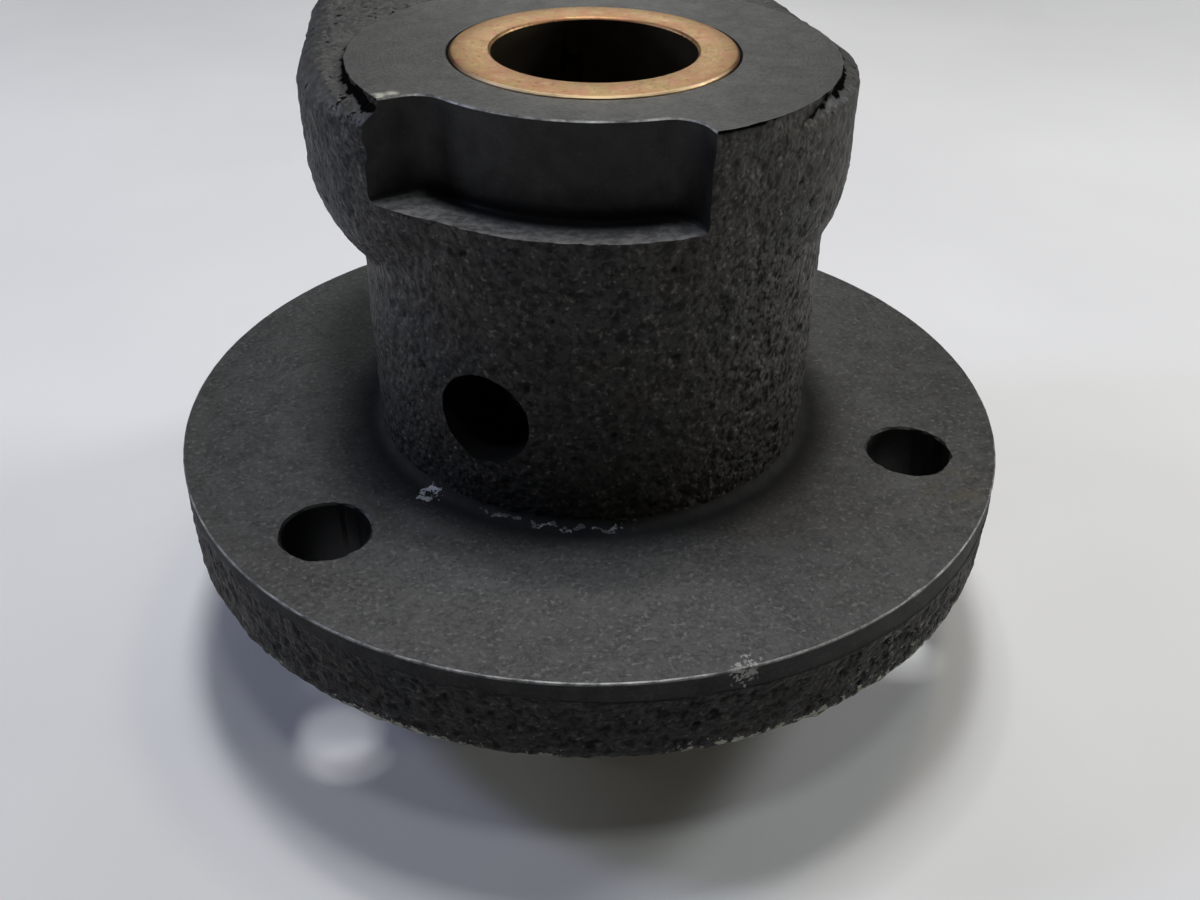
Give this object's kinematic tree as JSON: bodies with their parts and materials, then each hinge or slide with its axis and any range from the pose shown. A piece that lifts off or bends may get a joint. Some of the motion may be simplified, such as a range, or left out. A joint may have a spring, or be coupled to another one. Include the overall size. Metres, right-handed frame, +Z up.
{
  "type": "flange mount bearing",
  "caption": "Cast-iron flange mount plain bearing: round bolted flange, locating pilot, neck with a lubrication port, notched head with a side lug, and pressed bronze bushings.",
  "frame": {"origin": "centre of the pilot's end face, on the bore axis: the part stands on it", "axes": "+Z up the bore towards the head; +Y towards the lug and over one bolt hole; +X completes a right-handed frame"},
  "size_m": [0.1132, 0.1132, 0.0826],
  "materials": {
    "cast_iron": "blackened, rough as cast with turned faces",
    "bronze": "turned bearing bronze"
  },
  "bodies": {
    "root": {"housing": "cast_iron", "upper_bushing": "bronze", "lower_bushing": "bronze"}
  },
  "joints": []
}
